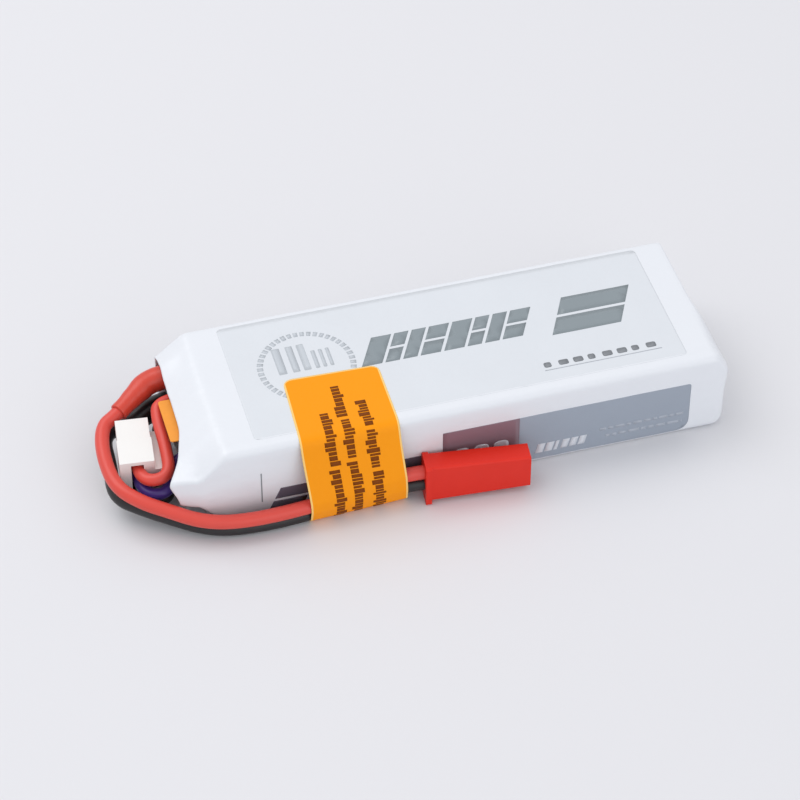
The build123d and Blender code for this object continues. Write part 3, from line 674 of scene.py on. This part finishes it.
for left, top in SIDE_BLOCKS:
    for low, high in ((SIDE_BLOCK_LOW, SIDE_SLIT_LOW), (SIDE_SLIT_HIGH, top)):
        side_blocks.append(slanted(left, left + SIDE_BLOCK_WIDTH, low, high, SIDE_BLOCK_LEAN))
printed("side_block_print", side_blocks, "front", DARK_INK, LIFTS["block"])


# ---- leads ------------------------------------------------------------------------------------
MAIN_OD = 2.4
SLEEVE_ROOT, SLEEVE_TIP = 4.1, 3.1      # a sleeve's width at the pack and at its free end
SLEEVE_START, SLEEVE_LENGTH = 0.3, 11.4
SLEEVE_AROUND = 28
SLEEVE_CLEARANCE = 0.02
BALANCE_OD = 2.1
BLACK_Z = 1.35                # axis height where the black lead lies on the floor
RED_Z = 3.78                  # and of the red one on top of it
PIN_TOP, PIN_LOW = 5.7, 3.2   # axis heights at the plug
PLUG_END = [(-14.079, -17.426), (-9.9, -17.85)]


def lead(name, points, diameter, finish, node):
    """A lead: one smooth spline through its route's control points, in millimetres."""
    curve = bpy.data.curves.new(name, "CURVE")
    curve.dimensions = "3D"
    spline = curve.splines.new("NURBS")
    spline.points.add(len(points) - 1)
    for control, point in zip(spline.points, points):
        control.co = (*(Vector(point) * MM), 1.0)
    spline.order_u = 3
    spline.use_endpoint_u = True
    spline.resolution_u = 14
    curve.bevel_depth = diameter / 2 * MM
    curve.bevel_resolution = 7
    curve.use_fill_caps = True
    curve.materials.append(finish)
    piece = bpy.data.objects.new(name, curve)
    bpy.context.scene.collection.objects.link(piece)
    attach(piece, ROOT)
    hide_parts(node)
    return piece


red_route = [
    (-45.8, 10.7, 10.8), (-49.0, 11.2, 10.4), (-52.4, 8.8, 9.75), (-56.4, 5.85, 8.75),
    (-58.9, 4.6, 8.2), (-60.05, -0.9, 7.5), (-59.6, -8.2, 7.0), (-56.3, -12.1, 6.2),
    (-51.8, -14.6, 5.1), (-47.8, -17.0, 4.3), (-43.6, -18.2, RED_Z), (-38.4, -18.8, RED_Z),
    (-33.0, -18.7, RED_Z), (-27.0, -18.2, RED_Z), (-20.5, -17.7, 4.2),
]
red_route += [(x, y, PIN_TOP) for x, y in PLUG_END]
black_route = [
    (-45.8, 10.3, 5.1), (-48.6, 10.3, 5.0), (-53.4, 7.9, 4.3), (-58.8, 5.9, 5.0),
    (-59.0, -1.6, 5.0), (-59.85, -8.3, 4.4), (-55.5, -11.5, 3.5), (-51.2, -13.9, 2.5),
    (-47.5, -16.1, 1.9),
    (-43.4, -17.4, BLACK_Z), (-38.3, -18.0, BLACK_Z), (-33.0, -17.95, BLACK_Z),
    (-27.0, -17.45, BLACK_Z), (-20.5, -17.1, 1.5),
]
black_route += [(x, y, PIN_LOW) for x, y in PLUG_END]

red_lead = lead("red_main_lead", red_route, MAIN_OD, RED_SILICONE,
                "positive_main_lead")
black_lead = lead("black_main_lead", black_route, MAIN_OD, BLACK_SILICONE,
                  "negative_main_lead")

# balance leads: their first points are in the balance plug's own frame
BALANCE_CORNER = Vector((-58.2, -6.45, 0))
LEAD_AXIS, LEAD_RECESS = 2.9, 2.5       # where a lead leaves the plug
TURN_REACH = 5.1                        # across its U-turn
BALANCE_ACROSS = Vector((0.99317, -0.11667, 0))
BALANCE_ALONG = Vector((0.11667, 0.99317, 0))


def on_balance(across, along, height):
    return BALANCE_CORNER + BALANCE_ACROSS * across + BALANCE_ALONG * along + Vector((0, 0, height))


def balance_turn(pin, turn_y, far_z):
    """Out of the plug at a pin's height and half way round the U-turn."""
    return [
        on_balance(LEAD_AXIS, LEAD_RECESS, pin), on_balance(LEAD_AXIS + 0.1, turn_y, pin),
        on_balance(LEAD_AXIS + TURN_REACH, turn_y - 0.5, far_z),
    ]


balance_red = balance_turn(7.4, -2.15, 8.2) + [
    (-49.9, -3.6, 9.0), (-50.0, 1.8, 9.85), (-49.4, 5.2, 10.7), (-45.8, 5.2, 10.7),
]
balance_black = balance_turn(2.4, -2.3, 3.4) + [
    (-49.9, -3.6, 4.4), (-50.0, 1.8, 5.35), (-49.4, 5.2, 6.3), (-45.8, 5.2, 6.3),
]
balance_middle = balance_turn(4.9, -2.6, 5.0) + [(-49.6, -4.9, 7.1), (-46.0, -4.9, 7.1)]
lead("red_balance_lead", balance_red, BALANCE_OD, RED_SILICONE,
     "balance_lead_positive")
lead("black_balance_lead", balance_black, BALANCE_OD, BLACK_SILICONE,
     "balance_lead_negative")
lead("violet_balance_lead", balance_middle, BALANCE_OD, VIOLET_SILICONE,
     "balance_lead_middle")


def line_of(piece):
    """The points of a lead's own line, in millimetres."""
    bare = bpy.data.objects.new("bare_line", piece.data.copy())
    bare.data.bevel_depth = 0
    mesh = bpy.data.meshes.new_from_object(bare)
    line = [v.co / MM for v in mesh.vertices]
    bpy.data.meshes.remove(mesh)
    bpy.data.objects.remove(bare)
    return line


def stretch_of(line, start, end):
    """The part of a line between two lengths along it."""
    kept, travelled = [], 0.0
    for before, after in zip(line, line[1:]):
        step = (after - before).length
        if start <= travelled <= end:
            kept.append(before)
        travelled += step
    return kept


def tube_rings(line, radii, around):
    """Rings round a line, carried along it without twist."""
    rings = []
    across = None
    for index, centre in enumerate(line):
        ahead = line[min(index + 1, len(line) - 1)] - line[max(index - 1, 0)]
        ahead.normalize()
        if across is None:
            across = ahead.cross(Vector((0, 0, 1))).normalized()
        across = (across - ahead * across.dot(ahead)).normalized()
        other = ahead.cross(across)
        for step in range(around):
            angle = 2 * math.pi * step / around
            rings.append(centre + (across * math.cos(angle) + other * math.sin(angle)) * radii[index])
    return rings


def lead_sleeve(name, main_lead, finish, node):
    """Heat-shrink sleeve: thicker than its lead, drawn in at its free end, a little lumpy."""
    line = stretch_of(line_of(main_lead), SLEEVE_START, SLEEVE_START + SLEEVE_LENGTH)
    around = SLEEVE_AROUND
    last = len(line) - 1
    outer = []
    for index in range(len(line)):
        lump = 0.05 * noise.noise(Vector((index * 0.35, SLEEVE_START, 2.2)))
        wide = SLEEVE_ROOT + (SLEEVE_TIP - SLEEVE_ROOT) * smoothstep(0.35, 0.9, index / last)
        outer.append(wide / 2 + lump)
    inner = [MAIN_OD / 2 + SLEEVE_CLEARANCE] * len(line)
    points = tube_rings(line, outer, around) + tube_rings(line, inner, around)
    rows = len(line)
    faces = grid_faces(rows, around, closed=True)
    offset = rows * around
    end = (rows - 1) * around
    faces += [tuple(offset + i for i in reversed(face)) for face in faces]
    for step in range(around):
        after = (step + 1) % around
        faces.append((after, step, offset + step, offset + after))
        faces.append((end + step, end + after, offset + end + after, offset + end + step))
    piece = mesh_piece(name, points, faces, [finish])
    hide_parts(node)
    return piece


red_sleeve = lead_sleeve("red_lead_sleeve", red_lead, RED_SLEEVE,
                         "positive_lead_sleeve")
black_sleeve = lead_sleeve("black_lead_sleeve", black_lead, BLACK_SLEEVE,
                           "negative_lead_sleeve")


# ---- plugs and cards --------------------------------------------------------------------------
def softened(node, name, finish, width):
    """A copy of a moulded part with its sharp edges rounded, standing for the CAD node."""
    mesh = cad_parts[node].data.copy()
    shape = bmesh.new()
    shape.from_mesh(mesh)
    bmesh.ops.remove_doubles(shape, verts=shape.verts, dist=1e-6)
    bmesh.ops.dissolve_limit(shape, angle_limit=math.radians(1), verts=shape.verts,
                             edges=shape.edges)
    shape.to_mesh(mesh)
    shape.free()
    mesh.name = name
    mesh.materials.clear()
    mesh.materials.append(finish)
    piece = bpy.data.objects.new(name, mesh)
    bpy.context.scene.collection.objects.link(piece)
    for layer in [a.name for a in mesh.attributes if a.name == "custom_normal"]:
        mesh.attributes.remove(mesh.attributes[layer])
    mesh.shade_smooth()
    round_off = piece.modifiers.new("edges", "BEVEL")
    round_off.width = width * MM
    round_off.segments = 3
    round_off.limit_method = "ANGLE"
    round_off.angle_limit = math.radians(28)
    round_off.harden_normals = True
    round_off.use_clamp_overlap = True
    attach(piece, ROOT)
    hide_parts(node)
    return piece


main_plug = softened("main_plug_housing", "red_main_plug", RED_NYLON, 0.14)
softened("balance_plug_housing", "white_balance_plug", WHITE_NYLON, 0.16)
softened("terminal_insulation_card", "orange_terminal_card", ORANGE_CARD, 0.05)


# ---- seal label -------------------------------------------------------------------------------
LABEL_THICKNESS = 0.1
LABEL_ROUND = 1.5             # of its two upper corners
LABEL_EDGE_WIDTH = 0.3        # the pale cut edge
LABEL_GAP = 0.05              # its middle surface off the film
LABEL_FLOOR = 0.07            # and off the floor
LABEL_ROWS = 96
# Each pair is for the left edge and the right edge: (x, y) of the head, x at the ridge and at the
# foot, and (y, z) of the corners down the front.
HEAD = ((-29.3, -1.0), (-13.2, -1.6))
RIDGE_X = (-30.1, -13.4)
FOOT_X = (-29.5, -12.9)
OUT = ((-19.8, 5.0), (-18.95, 6.4))
IN = ((-19.75, 3.3), (-19.0, 3.6))
UNDER = ((-19.05, 1.0), (-18.6, 1.3))
FOOT = ((-18.15, LABEL_FLOOR), (-17.5, LABEL_FLOOR))
LABEL_BENDS = [2.3, 1.6, 1.2, 0.6, 0.5]
LABEL_WIDTH = HEAD[1][0] - HEAD[0][0]
RIDGE_REACH = 14              # the label crosses the front ridge about this far along it
FOOT_TURN = (15, 28)          # its edges lean from there to there
TOP_REACH, TOP_Y = 12, -12.9  # it lies on the film's top up to here
TENT_START = (16, 21)         # and is free of the film from there on
TENT_PULL = 0.05


def rounded_line(corners, radii, step=0.12):
    """A (y, z) line with its corners rounded, as closely spaced points."""
    corners = [Vector(c) for c in corners]
    line = [corners[0]]
    for before, corner, after, radius in zip(corners, corners[1:], corners[2:], radii):
        arriving = (corner - before).normalized()
        leaving = (after - corner).normalized()
        half = arriving.angle(leaving) / 2
        back = radius * math.tan(half)
        start, end = corner - arriving * back, corner + leaving * back
        count = max(4, int(2 * half * radius / step))
        for index in range(count + 1):
            share = index / count
            near = start.lerp(corner, share)
            far = corner.lerp(end, share)
            line.append(near.lerp(far, share))
    line.append(corners[-1])
    return line


def label_column(share):
    """The label's line in Y and Z at that share of its width, and its X at head, ridge and foot."""
    def between(pair):
        return pair[0] + (pair[1] - pair[0]) * share

    head_x, head_y = Vector(HEAD[0]).lerp(Vector(HEAD[1]), share)
    top = BODY_TOP + LABEL_GAP
    corners = [(head_y, top), (-HALF_WIDTH - LABEL_GAP, top)]
    corners += [Vector(pair[0]).lerp(Vector(pair[1]), share) for pair in (OUT, IN, UNDER, FOOT)]
    corners.append((LABEL_END_Y, LABEL_FLOOR))
    places = (head_x, between(RIDGE_X), between(FOOT_X))
    return rounded_line(corners, LABEL_BENDS), places


COLUMN_LINES = {}


def label_spot(share, reach):
    """A point of the label: share across its width, reach along it from its head in millimetres."""
    if share not in COLUMN_LINES:
        COLUMN_LINES[share] = label_column(share)
    line, (head_x, ridge_x, foot_x) = COLUMN_LINES[share]
    left = reach
    spot = line[-1]
    for before, after in zip(line, line[1:]):
        step = (after - before).length
        if left <= step:
            spot = before.lerp(after, left / step)
            break
        left -= step
    y, z = spot
    x = head_x + (ridge_x - head_x) * min(1, reach / RIDGE_REACH)
    x += (foot_x - ridge_x) * smoothstep(*FOOT_TURN, reach)
    if reach < TOP_REACH and y > TOP_Y:
        z = on_top(x, y).z + LABEL_GAP
    pull = TENT_PULL * noise.noise(Vector((x * 0.5, reach * 0.12, 4)))
    pull *= smoothstep(*TENT_START, reach)
    return Vector((x, y - pull, z))


def label_reach(share):
    line = label_column(share)[0]
    return sum((after - before).length for before, after in zip(line, line[1:]))


def label_columns():
    """Shares across the width, close together at the rounded corners and the pale edges."""
    near = [0, 0.1, 0.2, LABEL_EDGE_WIDTH, 0.55, 0.8, 1.1, LABEL_ROUND, 2.0]
    middle = [2.0 + (LABEL_WIDTH - 4.0) * step / 16 for step in range(1, 16)]
    places = near + middle + [LABEL_WIDTH - place for place in reversed(near)]
    return [place / LABEL_WIDTH for place in places]


def label_sheet():
    shares = label_columns()
    points = []
    for row in range(LABEL_ROWS + 1):
        for share in shares:
            aside = min(share, 1 - share) * LABEL_WIDTH
            cut = 0.0
            if aside < LABEL_ROUND:
                cut = LABEL_ROUND - math.sqrt(LABEL_ROUND**2 - (LABEL_ROUND - aside) ** 2)
            long = label_reach(share)
            if row == 0:
                reach = cut
            else:
                below_edge = cut + LABEL_EDGE_WIDTH
                reach = below_edge + (long - below_edge) * (row - 1) / (LABEL_ROWS - 1)
            points.append(label_spot(share, reach))
    faces = grid_faces(LABEL_ROWS + 1, len(shares))
    last = len(shares) - 2
    finish_of = []
    for index in range(len(faces)):
        row, column = divmod(index, len(shares) - 1)
        edge = row == 0 or min(column, last - column) < 3
        finish_of.append(1 if edge else 0)
    piece = mesh_piece("orange_seal_label", points, faces, [LABEL_FACE, LABEL_EDGE],
                       finish_of)
    thicken(piece, LABEL_THICKNESS, 0)
    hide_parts("seal_label")


label_sheet()

BLOCK_LIFT, BLOCK_THICKNESS = 0.075, 0.03
BLOCK_CELL = 0.35             # a block is cut this fine, so that it follows the label
BLOCK_COLUMNS = ((4.9, 9.2), (7.9, 3.4), (11.4, 7.6))     # across the label, and start along it
BLOCKS_END = 33
BLOCK_HALF, BLOCK_GAP = 0.66, 0.17
BLOCK_LENGTHS = (0.4, 0.6, 0.8)
RISE, SINK = 0.42, 0.38       # how much some blocks stand past their column's sides
GROUP_SIZE, GROUP_GAP = (7, 16), 0.6


def label_marks():
    """Three columns of plain blocks in place of printed lines, running up the label."""
    points, faces = [], []

    def block(left, right, top, bottom):
        across = 3
        down = max(2, int((bottom - top) / BLOCK_CELL))
        first = len(points)
        for row in range(down + 1):
            for column in range(across + 1):
                place = left + (right - left) * column / across
                reach = top + (bottom - top) * row / down
                share = round(place / LABEL_WIDTH, 4)
                spot = label_spot(share, reach)
                ahead = label_spot(share, reach + 0.1) - label_spot(share, reach - 0.1)
                normal = Vector((1, 0, 0)).cross(ahead).normalized()
                if normal.z - normal.y < 0:
                    normal = -normal
                points.append(spot + normal * BLOCK_LIFT)
        for face in grid_faces(down + 1, across + 1):
            faces.append(tuple(first + i for i in face))

    for middle, start in BLOCK_COLUMNS:
        reach = start
        while reach < BLOCKS_END:
            for _ in range(random.randint(*GROUP_SIZE)):
                long = random.choice(BLOCK_LENGTHS)
                tall = random.choice((0, 0, 0, RISE))
                sunk = random.choice((0, 0, 0, 0, SINK))
                block(middle - BLOCK_HALF - tall, middle + BLOCK_HALF + sunk, reach, reach + long)
                reach += long + BLOCK_GAP
            reach += GROUP_GAP
    piece = mesh_piece("label_block_print", points, faces, [LABEL_MARK])
    thicken(piece, BLOCK_THICKNESS, 0)


label_marks()

# ---- floor, light and camera ------------------------------------------------------------------
HALF_FLOOR = 3.0              # metres, as are the lights' places and sizes
floor_mesh = bpy.data.meshes.new("floor")
floor_mesh.from_pydata(
    [(-HALF_FLOOR, -HALF_FLOOR, 0), (HALF_FLOOR, -HALF_FLOOR, 0), (HALF_FLOOR, HALF_FLOOR, 0),
     (-HALF_FLOOR, HALF_FLOOR, 0)],
    [], [(0, 1, 2, 3)],
)
floor_mesh.materials.append(material("pale_floor", from_srgb(226, 226, 229), 0.7, mottle=0.004,
                                     mottle_size=80, grain=0.02, grain_size=2))
floor = bpy.data.objects.new("floor", floor_mesh)
bpy.context.scene.collection.objects.link(floor)

world = bpy.data.worlds.new("studio")
world.use_nodes = True
world.node_tree.nodes["Background"].inputs["Color"].default_value = (0.965, 0.97, 1.0, 1.0)
world.node_tree.nodes["Background"].inputs["Strength"].default_value = 0.76
bpy.context.scene.world = world


def soft_light(name, place, size, power, colour=(1, 1, 1)):
    """A square area light that looks at the pack."""
    data = bpy.data.lights.new(name, "AREA")
    data.shape = "SQUARE"
    data.size = size
    data.energy = power
    data.color = colour
    lamp = bpy.data.objects.new(name, data)
    lamp.location = place
    lamp.rotation_euler = (-Vector(place)).to_track_quat("-Z", "Y").to_euler()
    bpy.context.scene.collection.objects.link(lamp)


soft_light("key", (-0.35, 0.30, 0.75), 0.7, 2.9)
soft_light("fill", (0.25, -0.8, 0.4), 0.8, 1.5, (0.96, 0.98, 1.0))

# the camera that was fitted to the photo, its place in millimetres
AZIMUTH, ELEVATION = math.radians(-15.95), math.radians(43.82)
DISTANCE, ASIDE, ALOFT = 511.2, 8.54, -5.32
SENSOR_WIDTH, LENS, SHIFT_UP = 36, 135.1, -0.02375
back = Vector((
    math.sin(AZIMUTH) * math.cos(ELEVATION),
    -math.cos(AZIMUTH) * math.cos(ELEVATION),
    math.sin(ELEVATION),
))
right = Vector((math.cos(AZIMUTH), math.sin(AZIMUTH), 0))
up = back.cross(right)
camera_data = bpy.data.cameras.new("camera")
camera_data.sensor_width = SENSOR_WIDTH
camera_data.lens = LENS
camera_data.shift_y = SHIFT_UP
camera = bpy.data.objects.new("camera", camera_data)
camera.matrix_world = Matrix.Translation((back * DISTANCE - right * ASIDE - up * ALOFT) * MM) @ (
    Matrix((right, up, back)).transposed().to_4x4()
)
bpy.context.scene.collection.objects.link(camera)
bpy.context.scene.camera = camera
bpy.context.scene.view_settings.view_transform = "Standard"
